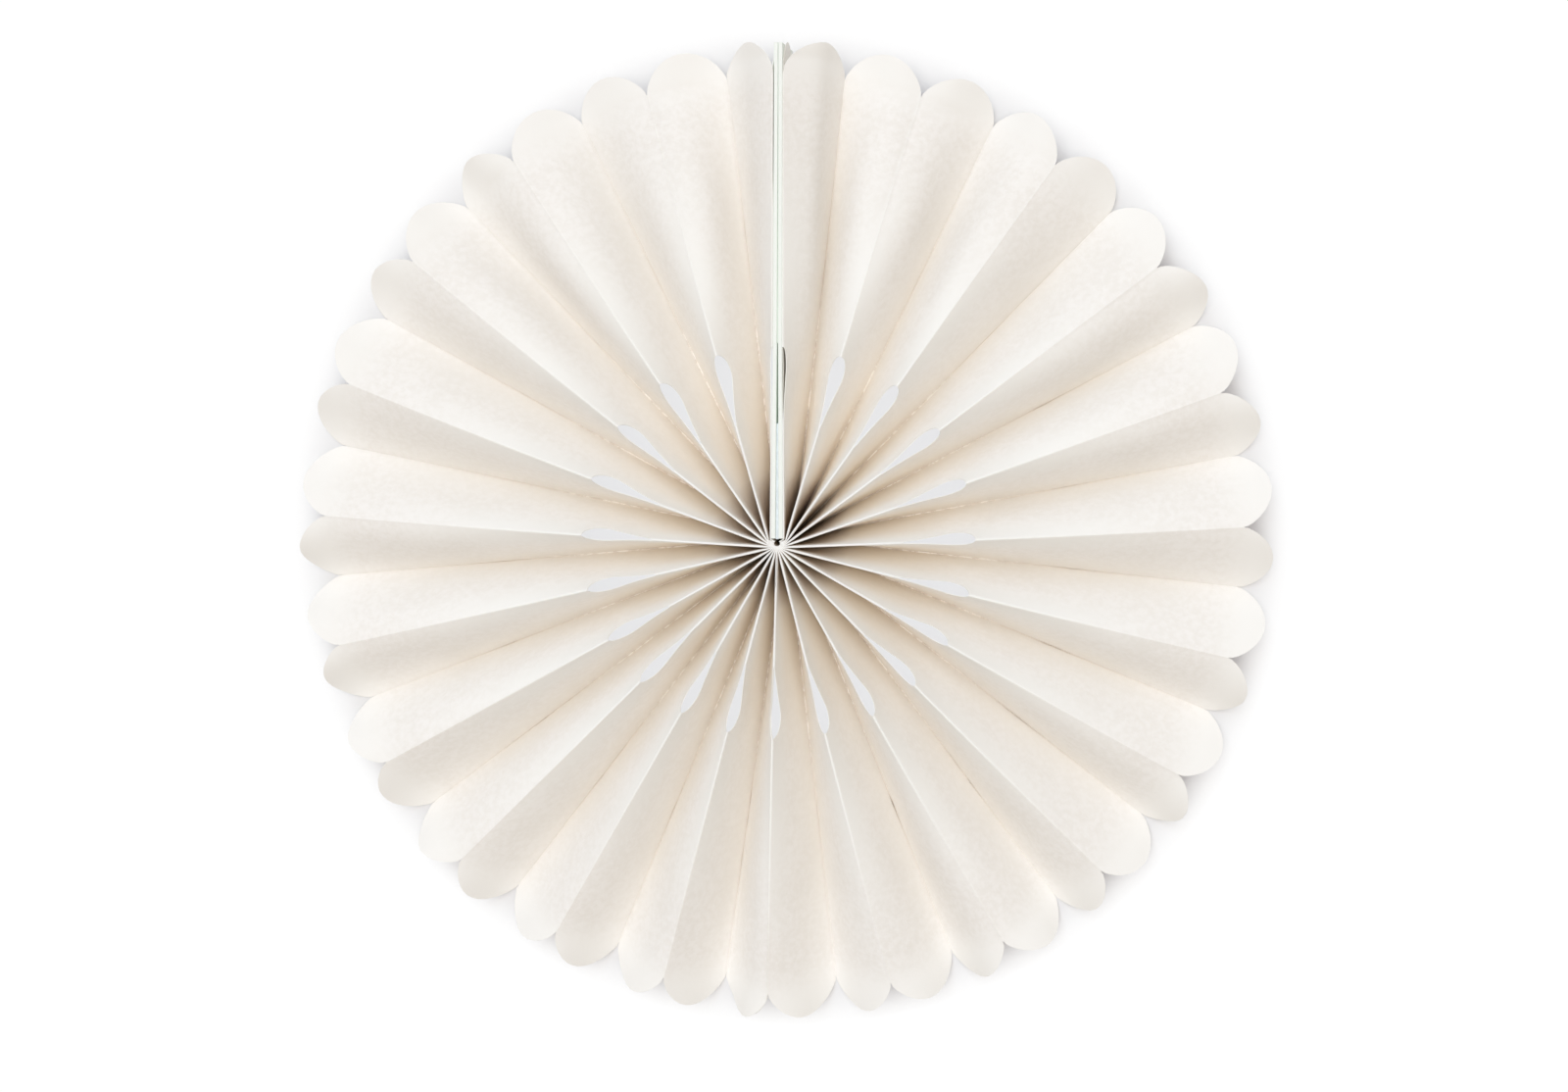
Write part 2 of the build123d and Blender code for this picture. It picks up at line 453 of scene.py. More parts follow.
def cutFacesAway(tree, mesh, across, row, panels, s):
    # the fold itself along each hole, the loose ends, and the overlap panel's part next to the hub
    column = floored(across)
    panel = panelOf(column)
    inPanel = column - panel * columnsPerPanel
    atStart = near(inPanel, 0.0)
    atEnd = above(inPanel, columnsPerPanel - 2.5)  # the last two faces
    isFront = 1.0 - isOdd(pick(atStart, panel, panel - 1.0))
    inTear = above(row, tipRow) * above(tearRow - row, 0.0)
    holes = most(atStart, atEnd) * isFront * inTear
    looseEnds = most(atStart * near(panel, 0.0), atEnd * near(panel, panels - 1.0))
    bridge = near(inPanel, columnsPerPanel - 1.0) * near(panel, s["panelsPerSide"])
    flap = most(above(panel, s["panelsPerSide"] + 0.5), bridge) * above(flapFirstRow - row, 0.0)
    cutAway = tree.nodes.new("GeometryNodeDeleteGeometry")
    cutAway.domain = "FACE"
    feed(tree, mesh, cutAway.inputs["Geometry"])
    feed(tree, above(most(most(holes, looseEnds), flap), 0.5), cutAway.inputs["Selection"])
    return cutAway.outputs["Geometry"]


def readPanel(across, s):
    # which panel a point is on, and where on it; the overlap panel goes back over the last one
    p = SimpleNamespace()
    column = floored(across + 0.5)
    p.number = panelOf(column)
    inPanel = column - p.number * columnsPerPanel
    p.isFlap = above(p.number, s["panelsPerSide"] + 0.5)
    p.isEnd = near(p.number, 0.0)
    rule = pick(p.isFlap, p.number, s["panelsPerSide"])
    p.odd = isOdd(rule)
    p.frontCrease, p.backCrease = pick(p.odd, rule, rule - 1.0), pick(p.odd, rule - 1.0, rule)
    p.atSeam = near(p.frontCrease, 0.0)
    first, last = near(inPanel, 0.0), near(inPanel, columnsPerPanel - 1.0)
    first, last = pick(p.isFlap, first, last), pick(p.isFlap, last, first)
    p.frontLand, p.backLand = pick(p.odd, last, first), pick(p.odd, first, last)
    # columns are spaced so that they divide the scallop's arc evenly
    step = ramp(inPanel, 1.0, columnsPerPanel - 2.0)
    step = pick(p.isFlap, step, 1.0 - step)
    arcRadius = (s["pleatWidth"] ** 2.0 / 4 + s["scallopHeight"] ** 2.0) / (s["scallopHeight"] * 2)
    p.endSine = 1.0 - s["scallopHeight"] / arcRadius
    endAngle = p.endSine.through("ARCSINE")
    p.endCosine = cosine(endAngle)
    arcShare = -cosine(endAngle + (math.pi - endAngle * 2) * step) / p.endCosine
    fromStart = ramp(arcShare, -1.0, 1.0)
    p.fromFront = pick(p.odd, 1.0 - fromStart, fromStart)  # 0 at the front fold, 1 at the back fold
    return p


def scallopPast(tree, creasePlan, s, p, inScallop):
    # how far past its notches this column reaches, and in which direction
    frontX, frontY = askCrease(tree, creasePlan, s, p.frontCrease, 1.0)
    backX, backY = askCrease(tree, creasePlan, s, p.backCrease, 1.0)
    chordX, chordY = backX - frontX, backY - frontY
    chord = distance(chordX, chordY)
    middle = distance(frontX + backX, frontY + backY) / 2
    reach = pick(p.isEnd, s["fanRadius"] - middle, s["scallopHeight"])
    inset = s["foldHalf"] / chord
    land = inset * foldSection["flat"]
    share = pick(p.fromFront, inset, 1.0 - inset)
    share = pick(p.frontLand, share, land)
    share = pick(p.backLand, share, 1.0 - land)
    share = pick(p.isEnd, share, p.fromFront)
    t = share * 2 - 1.0
    arch = (root(1.0 - (t * p.endCosine) ** 2.0) - p.endSine) / (1.0 - p.endSine)
    outX = pick(p.odd, -chordY, chordY) / chord
    outY = pick(p.odd, chordX, -chordX) / chord
    outwards = above(outX * frontX + outY * frontY, 0.0) * 2.0 - 1.0
    outX, outY = pick(p.isEnd, outX * outwards, 0.0), pick(p.isEnd, outY * outwards, 1.0)
    return most(arch, 0.0) * reach * inScallop, outX, outY


def holeBite(s, past):
    # how far a teardrop hole bites into its panel, this far past the hole's point
    pointRun = s["tearCentre"] - s["tearPoint"]
    slope = s["tearRadius"] / pointRun
    lean = slope.through("ARCSINE")
    straight = most(past, 0.0) * slope / cosine(lean)
    roundPart = root(s["tearRadius"] ** 2.0 - (past - pointRun) ** 2.0)
    pastTangent = above(past, pointRun - s["tearRadius"] * sine(lean))
    return pick(pastTangent, straight, roundPart)


def panelMood(tree, panel, seed, low, high, extra):
    node = tree.nodes.new("FunctionNodeRandomValue")
    node.data_type = "FLOAT"
    limits = [i for i in node.inputs if i.type == "VALUE"]
    limits[0].default_value, limits[1].default_value = low, high
    feed(tree, panel + extra, node.inputs["ID"])
    feed(tree, seed, node.inputs["Seed"])
    return nodeNumber(tree, [o for o in node.outputs if o.type == "VALUE"][0])


def makeRipple(tree, panel, seed, along, q):
    wave = tree.nodes.new("ShaderNodeTexNoise")
    wave.inputs["Scale"].default_value = 1.0
    wave.inputs["Detail"].default_value = 1.0
    apart = panel * rippleLook["perPanel"] + seed * rippleLook["perSheet"]
    place = joinPlace(tree, apart, along * rippleLook["along"], q * rippleLook["across"])
    feed(tree, place, wave.inputs["Vector"])
    return (nodeNumber(tree, wave.outputs["Fac"]) - 0.5) * 2


def panelSwell(tree, s, p, seed, bend, q, u, along, mostBow, slack):
    # how far the paper stands out of the flat between its folds, a little different on each panel
    squareTop, cubicTop = 4.0, 6.75  # bring the top of each hump to 1
    bow = least(root(slack * 3 / 8), mostBow) * panelMood(tree, p.number, seed, *panelMoods["bow"])
    bow = bow * s["bowShare"] * ramp(u, *paperPlaces["bowComes"]) + s["bowLeast"]
    ripple = makeRipple(tree, p.number, seed, along, q) * s["waviness"] * along
    foot = panelMood(tree, p.number, seed, *panelMoods["foot"]) * s["footPress"]
    foot = foot * ramp(along, *paperPlaces["footComes"])
    hump = q * (1.0 - q)
    swell = bow * hump * (1.0 - q) * cubicTop + ripple * hump * squareTop - foot * hump * q * cubicTop
    # the panel beside the end panel has a soft bend down its middle
    bent = least(q / s["bendAcross"], (1.0 - q) / (1.0 - s["bendAcross"])) * near(p.number, 1.0)
    swell = swell + bent * bend * ramp(u, *paperPlaces["bendComes"])
    return pick(p.isEnd, swell, 0.0) - p.isFlap * s["flapDrop"]


def pushAside(x, y, s):
    # the folds opposite the seam have been pushed a little to one side
    away = (x / most(-y, 0.001)).through("ARCTANGENT") / degree
    fade = pick(above(x, 0.0), s["swayLeft"], s["swayRight"])
    sway = s["swayOpposite"] * (-most(away, -away) / fade).through("EXPONENT") * above(-y, 0.5) * degree
    return x * cosine(sway) + y * sine(sway), y * cosine(sway) - x * sine(sway)


def storeNumber(tree, geometry, name, number):
    store = tree.nodes.new("GeometryNodeStoreNamedAttribute")
    store.data_type = "FLOAT"
    store.domain = "POINT"
    store.inputs["Name"].default_value = name
    feed(tree, geometry, store.inputs["Geometry"])
    feed(tree, number, [i for i in store.inputs if i.name == "Value" and i.enabled][0])
    return store.outputs["Geometry"]


def finishSheet(tree, geometry, place, paper, outside):
    move = tree.nodes.new("GeometryNodeSetPosition")
    feed(tree, geometry, move.inputs["Geometry"])
    feed(tree, place, move.inputs["Position"])
    smooth = tree.nodes.new("GeometryNodeSetShadeSmooth")
    feed(tree, move.outputs[0], smooth.inputs[0])
    realize = tree.nodes.new("GeometryNodeRealizeInstances")
    feed(tree, smooth.outputs[0], realize.inputs[0])
    dress = tree.nodes.new("GeometryNodeSetMaterial")
    feed(tree, realize.outputs[0], dress.inputs["Geometry"])
    feed(tree, paper, dress.inputs["Material"])
    feed(tree, dress.outputs[0], outside.inputs["Geometry"])


def makePleatedSheet():
    creasePlan = makeCreasePlan()
    creaseHeight = makeCreaseHeight(creasePlan)
    tree, inside, outside = newGroup(
        "pleatedSheet", "GeometryNodeTree",
        [
            ("Geometry", "NodeSocketGeometry", None), ("Side", "NodeSocketFloat", 1.0),
            ("Flap", "NodeSocketFloat", 0.0), ("Peel", "NodeSocketFloat", 0.0),
            ("Bend", "NodeSocketFloat", 0.0), ("Seed", "NodeSocketInt", 0),
            ("Paper", "NodeSocketMaterial", None),
        ] + sizeSockets(),
        [("Geometry", "NodeSocketGeometry")],
    )
    s = sizesFrom(tree, inside)
    side, flap, peel, bend, seed = numbersFrom(tree, inside, "Side", "Flap", "Peel", "Bend", "Seed")
    panels = s["panelsPerSide"] + 1.0 + flap
    columns = panels * columnsPerPanel
    mesh, across, row = makeGrid(tree, columns)
    across = pick(above(side, 0.0), columns - 1.0 - across, across)
    mesh = cutFacesAway(tree, mesh, across, row, panels, s)
    p = readPanel(across, s)

    # rows: out to the hole, along it, out to the notch, over the scallop
    run = s["fanRadius"] - s["scallopHeight"] - s["hubRadius"]
    slip = s["flapSlip"] / run * p.isFlap
    tipAt = (s["tearPoint"] - s["hubRadius"]) / run - slip
    tearEndAt = (s["tearCentre"] + s["tearRadius"] - s["hubRadius"]) / run - slip
    inHole = sine(ramp(row, tipRow, tearRow) * (math.pi / 2))
    u = tipAt * ramp(row, hubRow, tipRow) + (tearEndAt - tipAt) * inHole
    u = u + (1.0 - tearEndAt) * ramp(row, tearRow, notchRow)
    past, outX, outY = scallopPast(tree, creasePlan, s, p, ramp(row, notchRow, endRow))
    along = u + past / run

    # corners of the panel's section here
    frontX, frontY = askCrease(tree, creasePlan, s, p.frontCrease, u)
    backX, backY = askCrease(tree, creasePlan, s, p.backCrease, u)
    acrossX, acrossY = pick(p.isEnd, backX - frontX, 0.0), pick(p.isEnd, backY - frontY, 0.0)
    pitch = most(distance(acrossX, acrossY), 0.001)
    acrossX, acrossY = acrossX / pitch, acrossY / pitch
    fold = least(least(s["foldHalf"], foldRoom(u)), pick(p.isEnd, pitch / 2, s["foldHalf"]))
    fold = least(fold, pick(ramp(u, *paperPlaces["foldNarrows"]), s["foldInner"], s["foldOuter"]))
    foldFront = pick(p.atSeam, fold, least(fold, s["foldSeam"]))
    foldBack = least(fold, pick(ramp(u, *paperPlaces["backNarrows"]), s["foldInner"], s["foldBackOuter"]))
    frontHeight, = askCrease(tree, creaseHeight, s, p.frontCrease, along)
    backHeight, = askCrease(tree, creaseHeight, s, p.backCrease, along)
    frontTop = frontHeight - s["paperThickness"] / 2
    backTop = pick(p.isEnd, backHeight, 0.0) + s["paperThickness"] / 2
    upperZ = frontTop - foldFront * foldSection["drop"]
    lowerZ = backTop + pick(p.isEnd, foldBack * foldSection["drop"], 0.0)
    upperX = foldFront * foldSection["shoulder"]
    lowerX = pitch - foldBack * foldSection["shoulder"]

    # share of the slope from its front fold, 0, or the edge of the hole, to its back fold, 1
    bite = holeBite(s, (u - tipAt) * run) * pick(p.atSeam, s["biteShare"], s["seamBite"])
    bitten = within(bite / most(upperZ - lowerZ, 1.0))
    whole = 1.0 - p.isFlap * s["flapShort"] / s["pleatWidth"]
    q = pick(p.fromFront, bitten, whole)

    # the slope with its swell, and the flat lands on top of the folds
    rise, level = upperZ - lowerZ, lowerX - upperX
    slant = distance(rise, level)
    slack = slant * most(s["pleatWidth"] - fold * 2 - slant, 0.0)
    swell = panelSwell(tree, s, p, seed, bend, q, u, along, pitch * s["bowMost"], slack)
    sectionX = upperX + level * q + swell * rise / slant
    sectionZ = upperZ - rise * q + swell * level / slant
    sectionX = pick(p.frontLand, sectionX, foldFront * foldSection["flat"])
    sectionZ = pick(p.frontLand, sectionZ, frontTop)
    sectionX = pick(p.backLand, sectionX, pitch - foldBack * foldSection["flat"])
    sectionZ = pick(p.backLand, sectionZ, backTop)

    # the end panel stands upright on the card; the left one has come away a little at the rim
    endX = frontX - foldFront * pick(p.frontLand, 1.0, foldSection["flat"])
    peeled = peel * ramp(along, *paperPlaces["peelComes"]) * ramp(along, *paperPlaces["peelGoes"])
    endX = endX + peeled * most(1.0 - p.fromFront * 2, 0.0)
    endZ = pick(p.frontLand, pick(q, upperZ, backTop), frontTop)
    x = pick(p.isEnd, frontX + acrossX * sectionX + outX * past, endX)
    y = pick(p.isEnd, frontY + acrossY * sectionX, frontY) + outY * past
    z = pick(p.isEnd, sectionZ, endZ)

    # the overlap panel lies mirrored, and the inner ends are pinched together at the hub
    x = pick(p.isFlap, x, -x)
    pinch = pick(ramp(row, 0.0, hubRow), s["innerReach"] / s["hubRadius"], 1.0)
    x, y = pushAside(x * pinch * side, y * pinch, s)
    for name, number in (("fromFrontFold", q), ("alongFan", along)):
        mesh = storeNumber(tree, mesh, name, number)
    finishSheet(tree, mesh, joinPlace(tree, x * mm, y * mm, z * mm), inside.outputs["Paper"], outside)
    return tree


def plainMeshFrom(name, tree, settings):
    # grows the tree on an empty mesh, gives the sheet its thickness and keeps the result as a plain mesh
    holder = bpy.data.objects.new(name + "Holder", bpy.data.meshes.new(name + "Holder"))
    bpy.context.scene.collection.objects.link(holder)
    modifier = holder.modifiers.new("grow", "NODES")
    modifier.node_group = tree
    sockets = {item.name: item.identifier for item in tree.interface.items_tree if item.in_out == "INPUT"}
    for socketName, value in settings.items():
        modifier[sockets[socketName]] = value
    wall = holder.modifiers.new("paper", "SOLIDIFY")
    wall.thickness = paperSizes["paperThickness"] * mm
    wall.offset = 0.0
    graph = bpy.context.evaluated_depsgraph_get()
    mesh = bpy.data.meshes.new_from_object(holder.evaluated_get(graph), depsgraph=graph)
    holder.modifiers.clear()
    bpy.data.objects.remove(holder)
    mesh.name = name
    mesh.set_sharp_from_angle(angle=sharpEdge * degree)
    piece = bpy.data.objects.new(name, mesh)
    bpy.context.scene.collection.objects.link(piece)
    return piece


paperFinish = {
    "fresh": (0.95, 0.925, 0.895, 1.0),
    "cloud": (0.905, 0.875, 0.835, 1.0),
    # painted shade: the paper turns a darker tan towards each back fold
    "valleyShade": (0.83, 0.795, 0.74, 1.0),
    # painted shade: the paper turns warmer and darker towards the hub, for light bouncing deep between the
    # pleats
    "inner": (0.925, 0.88, 0.81, 1.0),
    # painted shade: dark brown at the hub where the pleats close in, though not on the fold tops
    "hub": (0.40, 0.28, 0.17, 1.0),
    # painted light: the scallop tips paler, for light through the thin paper and back from the table
    "tipLight": (0.96, 0.945, 0.915, 1.0),
    # painted highlight: a paler band beside each front fold
    "ridgeLight": (0.965, 0.955, 0.925, 1.0),
    # painted highlight: a white line on each front fold near the hub
    "fold": (0.965, 0.96, 0.945, 1.0),
    # painted shade: a dark line along each back fold, which turns to lighter scuffs near the hub
    "line": (0.76, 0.69, 0.63, 1.0),
    "scuff": (0.97, 0.94, 0.91, 1.0),
    "valleyShadeShare": 0.75,
    "valleyShadePower": 1.4,
    "lineShare": 0.7,
    "roughness": 0.86,
    "specular": 0.25,
    "bump": (0.3, 0.0001),
}

# where each tone comes in, from none to all of it: across the panel from the front fold, 0,
# to the back fold, 1, and along it from the hub, 0, to the notches, 1
paperTones = {
    "valleyShade": {"across": (0.2, 1.0), "along": (1.02, 0.77)},
    "inner": {"across": (-0.0667, 0.2667), "along": (0.48, 0.08)},
    "hub": {"across": (0.0, 0.1667), "along": (0.135, 0.025)},
    "tipLight": {"along": (0.95, 1.03)},
    "ridgeLight": {"across": (0.42, 0.07), "along": (0.9, 0.6), "fromHub": (0.1, 0.2)},
    "fold": {"across": (0.03, 0.0), "along": (0.5, 0.3)},
    "line": {"across": (0.965, 0.985), "along": (1.1, 0.1), "fromHub": (0.0, 0.1667)},
    "scuff": {"tone": (0.4, 0.65), "along": (0.55, 0.43), "fromHub": (0.15, 0.2)},
}


def makeSheetPaper():
    material, tree, shader = newMaterial("sheetPaper", paperFinish["roughness"])
    shader.inputs["Specular IOR Level"].default_value = paperFinish["specular"]
    surface = placeGroup(tree, grain)
    tone, = numbersFrom(tree, surface, "Tone")
    across, along = readAttribute(tree, "fromFrontFold"), readAttribute(tree, "alongFan")
    measures = {"across": across, "along": along, "fromHub": along, "tone": tone}

    def shareOf(name):
        limits = paperTones[name].items()
        return math.prod(ramp(measures[measure], *fromTo) for measure, fromTo in limits)

    # painted shade, darker towards each back fold where the pleats shade one another
    valleyShade = ramp(across, *paperTones["valleyShade"]["across"]) ** paperFinish["valleyShadePower"]
    valleyShade = valleyShade * ramp(along, *paperTones["valleyShade"]["along"]) * paperFinish["valleyShadeShare"]
    base = mixColours(tree, tone, paperFinish["cloud"], paperFinish["fresh"])
    base = mixColours(tree, valleyShade, base, paperFinish["valleyShade"])
    # painted shade towards the hub, and painted light at the scallop tips, beside the front folds and on the
    # folds near the hub
    for name in ("inner", "hub", "tipLight", "ridgeLight", "fold"):
        base = mixColours(tree, shareOf(name), base, paperFinish[name])
    # painted shade line along each back fold, with lighter scuffs on it near the hub
    line = mixColours(tree, shareOf("scuff"), paperFinish["line"], paperFinish["scuff"])
    base = mixColours(tree, shareOf("line") * paperFinish["lineShare"], base, line)
    feed(tree, base, shader.inputs["Base Color"])
    addBump(tree, shader, surface.outputs["Height"], *paperFinish["bump"])
    return material


halves = {
    "paperSheetRight": {
        "node": "paper_sheet_right", "Side": 1.0, "Flap": 1.0, "Peel": 0.0, "Bend": 3.0, "Seed": 3,
        "footPress": 0.3,
    },
    "paperSheetLeft": {
        "node": "paper_sheet_left", "Side": -1.0, "Flap": 0.0, "Peel": 0.38, "Bend": 0.8, "Seed": 8,
        "footPress": 0.8,
    },
}
pleatedSheet = makePleatedSheet()
sheetPaper = makeSheetPaper()
for name, half in halves.items():
    settings = {key: value for key, value in half.items() if key != "node"}
    settings["Paper"] = sheetPaper
    piece = plainMeshFrom(name, pleatedSheet, settings)
    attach(piece, "root")
    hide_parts(half["node"])
    piece.data.calc_loop_triangles()
    print(name, len(piece.data.loop_triangles), "triangles")

# the cards and the tape between them

# millimetres: the two boards stand back to back in the seam and part towards the hub
cardSizes = {
    "from": 1.16,
    "to": 124.0,
    "thickness": 1.0,
    "height": 20.8,
    "gapHub": 0.4,
    "gapBend": 0.12,
    "gapRim": 0.03,
    "edge": 0.1,
    "stations": 24,
}

cardFinish = {
    "face": (0.94, 0.965, 0.93, 1.0),
    "core": (0.92, 0.96, 0.91, 1.0),
    "skin": (0.86, 0.92, 0.86, 1.0),
    "skinShare": 0.75,
    "skinInner": (0.16, 0.04),
    "skinOuter": (0.84, 0.96),
    "fibreScale": 2200.0,
    "roughness": 0.6,
    "bump": (0.2, 0.0001),
}


def between(x, start, end, first, last):
    return first + (last - first) * (x - start) / (end - start)


def halfGap(y):
    # half of the gap between the two cards, which part faster inside the bend
    hub, bend, rim = (paperSizes[name] for name in ("hubRadius", "bendAt", "fanRadius"))
    if y < bend:
        return between(y, hub, bend, cardSizes["gapHub"], cardSizes["gapBend"])
    return between(y, bend, rim, cardSizes["gapBend"], cardSizes["gapRim"])


def spread(sizes):
    # evenly spaced places from one end of a piece to the other
    count = sizes["stations"]
    return [between(i, 0, count, sizes["from"], sizes["to"]) for i in range(count + 1)]


def makeSlab(name, stations, edge, material):
    # a closed upright slab: each station is (y, one side, other side, bottom, top) in millimetres
    mesh = bpy.data.meshes.new(name)
    shape = bmesh.new()
    through = shape.verts.layers.float.new("throughCard")
    rings = []
    for y, left, right, bottom, top in stations:
        corners = ((left, bottom), (right, bottom), (right, top), (left, top))
        ring = [shape.verts.new((x * mm, y * mm, z * mm)) for x, z in corners]
        for corner, share in zip(ring, (0.0, 1.0, 1.0, 0.0)):
            corner[through] = share
        rings.append(ring)
    for before, after in zip(rings, rings[1:]):
        for i in range(4):
            j = (i + 1) % 4
            shape.faces.new((before[i], before[j], after[j], after[i]))
    shape.faces.new(rings[0])
    shape.faces.new(rings[-1])
    bmesh.ops.recalc_face_normals(shape, faces=shape.faces)
    shape.to_mesh(mesh)
    shape.free()
    mesh.materials.append(material)
    for face in mesh.polygons:
        face.use_smooth = True
    piece = bpy.data.objects.new(name, mesh)
    bpy.context.scene.collection.objects.link(piece)
    bevel = piece.modifiers.new("roundedEdges", "BEVEL")
    bevel.width = edge * mm
    bevel.segments = 3
    bevel.limit_method = "ANGLE"
    bevel.angle_limit = math.radians(50)
    piece.modifiers.new("crispFaces", "WEIGHTED_NORMAL")
    return piece


def makeCardBoard():
    # pale board with a slightly darker skin on each face, which shows as lines along its edge
    material, tree, shader = newMaterial("cardBoard", cardFinish["roughness"])
    surface = placeGroup(tree, grain, **{"Fibre Scale": cardFinish["fibreScale"]})
    through = readAttribute(tree, "throughCard")
    skin = most(ramp(through, *cardFinish["skinInner"]), ramp(through, *cardFinish["skinOuter"]))
    base = mixColours(tree, surface.outputs["Tone"], cardFinish["core"], cardFinish["face"])
    base = mixColours(tree, skin * cardFinish["skinShare"], base, cardFinish["skin"])
    feed(tree, base, shader.inputs["Base Color"])
    addBump(tree, shader, surface.outputs["Height"], *cardFinish["bump"])
    return material


def makeCard(name, side, board):
    stations = []
    for y in spread(cardSizes):
        inner = halfGap(y)
        outer = inner + cardSizes["thickness"]
        stations.append((y, inner * side, outer * side, 0.0, cardSizes["height"]))
    return makeSlab(name, stations, cardSizes["edge"], board)


cardBoard = makeCardBoard()
cards = {
    "card_right": makeCard("endCardRight", 1.0, cardBoard),
    "card_left": makeCard("endCardLeft", -1.0, cardBoard),
}
for node, card in cards.items():
    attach(card, "root")
    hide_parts(node)
print("cards made")

padSizes = {
    "from": 0.95,
    "to": 30.0,
    "low": 0.4,
    "high": 20.35,
    "clear": 0.01,
    "edge": 0.12,
    "stations": 30,
    "uneven": 0.05,
}

padFinish = {
    "foam": (0.84, 0.90, 0.95, 1.0),
    "shade": (0.756, 0.81, 0.855, 1.0),
    "cellScale": 2600.0,
    "roughness": 0.8,
    "bump": (0.5, 0.0001),
}


def makeFoam():
    material, tree, shader = newMaterial("padFoam", padFinish["roughness"])
    cells = tree.nodes.new("ShaderNodeTexVoronoi")
    cells.inputs["Scale"].default_value = padFinish["cellScale"]
    feed(tree, objectPlace(tree), cells.inputs["Vector"])
    surface = placeGroup(tree, grain)
    base = mixColours(tree, surface.outputs["Tone"], padFinish["shade"], padFinish["foam"])
    feed(tree, base, shader.inputs["Base Color"])
    addBump(tree, shader, cells.outputs["Distance"], *padFinish["bump"])
    return material


def makePad():
    # the foam is cut by hand, so its upper edge wavers a little
    stations = []
    for i, y in enumerate(spread(padSizes)):
        half = halfGap(y) - padSizes["clear"]
        waver = padSizes["uneven"] * math.sin(i * 2.1) * math.sin(i * 0.7 + 1.0)
        stations.append((y, -half, half, padSizes["low"], padSizes["high"] + waver))
    return makeSlab("hubPad", stations, padSizes["edge"], makeFoam())


hubPad = makePad()
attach(hubPad, "root")
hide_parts("hub_pad")

# the solid of the film stays, with a finish of its own
filmFinish = {
    "near": (0.86, 0.92, 0.86, 1.0),
    # painted shade: the film darkens towards the rim for the narrow gap between the cards
    "rim": (0.64, 0.72, 0.66, 1.0),
    "turnsAt": 0.065,  # metres from the hub
    "turnsOver": 0.04,
    "cloudy": 0.6,
    "roughness": 0.3,
}


def makeFilm():
    # thin sticky film between the cards, clouded near its start; its darker colour towards the rim is
    # painted shade of the narrow gap between the cards
    material, tree, shader = newMaterial("tapeFilm", filmFinish["roughness"])
    tone, = numbersFrom(tree, placeGroup(tree, grain), "Tone")
    _, y, _ = splitPlace(tree, objectPlace(tree))
    outward = (y - filmFinish["turnsAt"]) / filmFinish["turnsOver"] + (tone - 0.5) * filmFinish["cloudy"]
    base = mixColours(tree, within(outward), filmFinish["near"], filmFinish["rim"])
    feed(tree, base, shader.inputs["Base Color"])
    return material


nodes["rim_film"].data.materials.clear()
nodes["rim_film"].data.materials.append(makeFilm())
print("pad and film made")

# floor, light and camera

# metres from the hub for the places on the table, degrees for the lamps
stage = {
    "floorReach": 6.0,
    "floorDrop": 0.0002,
    "floorColour": (0.9, 0.9, 0.9, 1.0),
    "floorRoughness": 0.9,
    # underTint and glowUnder: painted light, a pale bluish glow of the table under the fan, where it lies in
    # the fan's shade
    "underTint": (0.985, 0.99, 1.0),
    "shadeTint": (0.93, 0.92, 0.89),
    "daylight": (1.07, 1.07, 1.06),  # how brightly the lamps and the world light the open table
    "glowUnder": 0.79,
    "glowBeside": 0.0,
    "glowFar": 1.02,
    "farLift": 0.03,
    "besideRim": (0.085, 0.105),
    "clearTable": (0.121, 0.131),
    # rimShade: a painted shadow, this share darker, in a ring just outside the notches
    "rimShade": 0.07,
    "rimShadeEdge": (0.127, 0.117),
    "worldColour": (1.0, 0.937, 0.86, 1.0),
    "worldStrength": 0.5,
    "lamps": {
        # strength, softness, height above the table and turn from the seam, colour
        "overheadLight": (1.25, 55.0, 80.0, 0.0, (1.0, 0.995, 0.99)),
        "windowLight": (0.47, 36.0, 42.0, -22.0, (0.76, 0.97, 1.24)),
    },
}


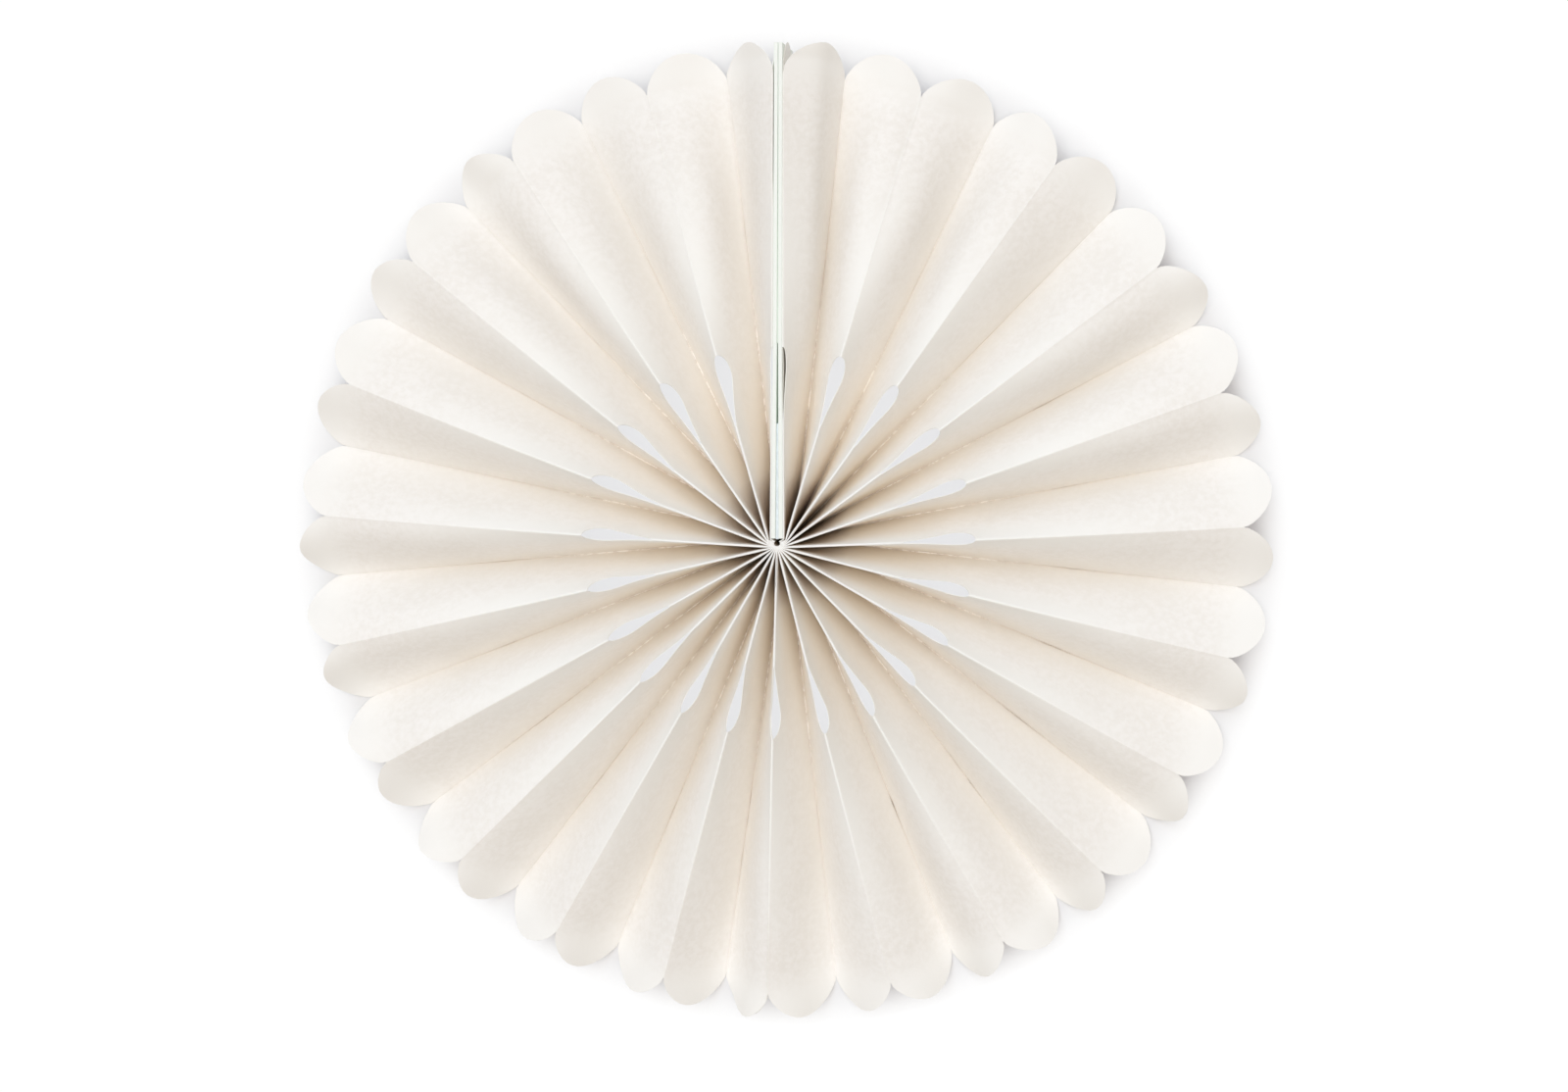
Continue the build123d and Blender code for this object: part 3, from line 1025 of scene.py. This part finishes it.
def makeWhiteTable():
    # the table stays white to the camera and keeps a light shadow; to everything else it is plain white
    material, tree, shader = newMaterial("whiteTable", stage["floorRoughness"])
    shader.inputs["Specular IOR Level"].default_value = 0.0
    rays = ("Is Camera Ray", "Is Glossy Ray", "Is Transmission Ray")
    cameraRay, glossyRay, clearRay = numbersFrom(tree, tree.nodes.new("ShaderNodeLightPath"), *rays)
    seen = most(most(cameraRay, glossyRay), clearRay)
    # under the open fan the table glows with painted light, so the holes show pale, and far from it it glows
    # to white; beside the rim it takes the fan's shadow, with a ring of painted shadow added
    x, y, _ = splitPlace(tree, objectPlace(tree))
    fromHub = distance(x, y)
    out = ramp(fromHub, *stage["besideRim"])
    far = ramp(fromHub, *stage["clearTable"])
    glow = pick(far, pick(out, asNumber(tree, stage["glowUnder"]), stage["glowBeside"]), stage["glowFar"])
    share = stage["glowFar"] - glow
    # a painted shadow ring on the table beside the rim
    rimShade = out * ramp(fromHub, *stage["rimShadeEdge"]) * stage["rimShade"]
    level = (far * stage["farLift"] + 1.0) * (1.0 - rimShade)
    faint, shine = [tree.nodes.new("ShaderNodeCombineColor") for _ in range(2)]
    for index in range(3):
        part = share * stage["shadeTint"][index]
        # under the fan the painted light is tinted a little blue
        tint = pick(out, stage["underTint"][index], 1.0)
        feed(tree, part, faint.inputs[index])
        feed(tree, (level - part * stage["daylight"][index]) * tint, shine.inputs[index])
    base = mixColours(tree, seen, stage["floorColour"], faint.outputs[0])
    feed(tree, base, shader.inputs["Base Color"])
    feed(tree, shine.outputs[0], shader.inputs["Emission Color"])
    feed(tree, seen, shader.inputs["Emission Strength"])
    # seen from below the table is left clear, so that the underside shows
    clear = tree.nodes.new("ShaderNodeBsdfTransparent")
    mix = tree.nodes.new("ShaderNodeMixShader")
    feed(tree, tree.nodes.new("ShaderNodeNewGeometry").outputs["Backfacing"], mix.inputs[0])
    feed(tree, shader.outputs[0], mix.inputs[1])
    feed(tree, clear.outputs[0], mix.inputs[2])
    feed(tree, mix.outputs[0], tree.nodes["Material Output"].inputs["Surface"])
    return material


def makeFloor():
    mesh = bpy.data.meshes.new("floor")
    reach = stage["floorReach"]
    corners = [(-reach, -reach, 0), (reach, -reach, 0), (reach, reach, 0), (-reach, reach, 0)]
    mesh.from_pydata(corners, [], [(0, 1, 2, 3)])
    mesh.materials.append(makeWhiteTable())
    floor = bpy.data.objects.new("floor", mesh)
    floor.location.z = -stage["floorDrop"]
    bpy.context.scene.collection.objects.link(floor)


def makeLamps():
    for name, (strength, softness, height, turn, colour) in stage["lamps"].items():
        lamp = bpy.data.lights.new(name, "SUN")
        lamp.energy = strength
        lamp.angle = math.radians(softness)
        lamp.color = colour
        up, aside = math.radians(height), math.radians(turn)
        towards = Vector((math.sin(aside) * math.cos(up), math.cos(aside) * math.cos(up), math.sin(up)))
        holder = bpy.data.objects.new(name, lamp)
        holder.rotation_mode = "QUATERNION"
        holder.rotation_quaternion = towards.to_track_quat("Z", "Y")
        bpy.context.scene.collection.objects.link(holder)


def makeWorld():
    # warm to the paper, white to the camera
    world = bpy.data.worlds.new("room")
    world.use_nodes = True
    tree = world.node_tree
    background = tree.nodes["Background"]
    seen, = numbersFrom(tree, tree.nodes.new("ShaderNodeLightPath"), "Is Camera Ray")
    feed(tree, mixColours(tree, seen, stage["worldColour"], white), background.inputs["Color"])
    strength = pick(seen, asNumber(tree, stage["worldStrength"]), 1.0)
    feed(tree, strength, background.inputs["Strength"])
    bpy.context.scene.world = world


# metres; the camera stands up and to the right of the hub, as for the photograph
cameraPlace = {
    "spot": (0.0672, 0.0693, 0.56),
    "lookAt": (0.0005, -0.0015, 0.012),
    "shift": (-0.12, -0.09),
    "frameWidth": 0.4,
    "roll": 0.35,
    "sensorWidth": 36.0,
    "clip": (0.01, 20.0),
}


def makeCamera():
    camera = bpy.data.cameras.new("camera")
    holder = bpy.data.objects.new("camera", camera)
    bpy.context.scene.collection.objects.link(holder)
    spot, target = Vector(cameraPlace["spot"]), Vector(cameraPlace["lookAt"])
    camera.sensor_width = cameraPlace["sensorWidth"]
    camera.lens = camera.sensor_width * (spot - target).length / cameraPlace["frameWidth"]
    camera.shift_x, camera.shift_y = cameraPlace["shift"]
    camera.clip_start, camera.clip_end = cameraPlace["clip"]
    perShift = camera.sensor_width / camera.lens
    inCamera = Vector((camera.shift_x * perShift, camera.shift_y * perShift, -1.0)).normalized()
    turn = inCamera.rotation_difference((target - spot).normalized())
    holder.rotation_mode = "QUATERNION"
    holder.rotation_quaternion = turn @ Quaternion((0, 0, 1), math.radians(cameraPlace["roll"]))
    holder.location = spot
    bpy.context.scene.camera = holder


makeFloor()
makeLamps()
makeWorld()
makeCamera()
bpy.context.scene.view_settings.view_transform = "Standard"
bpy.context.scene.cycles.max_bounces = 20  # light bounces many times between the white pleats
bpy.context.scene.cycles.diffuse_bounces = 16
print("stage, light and camera made")
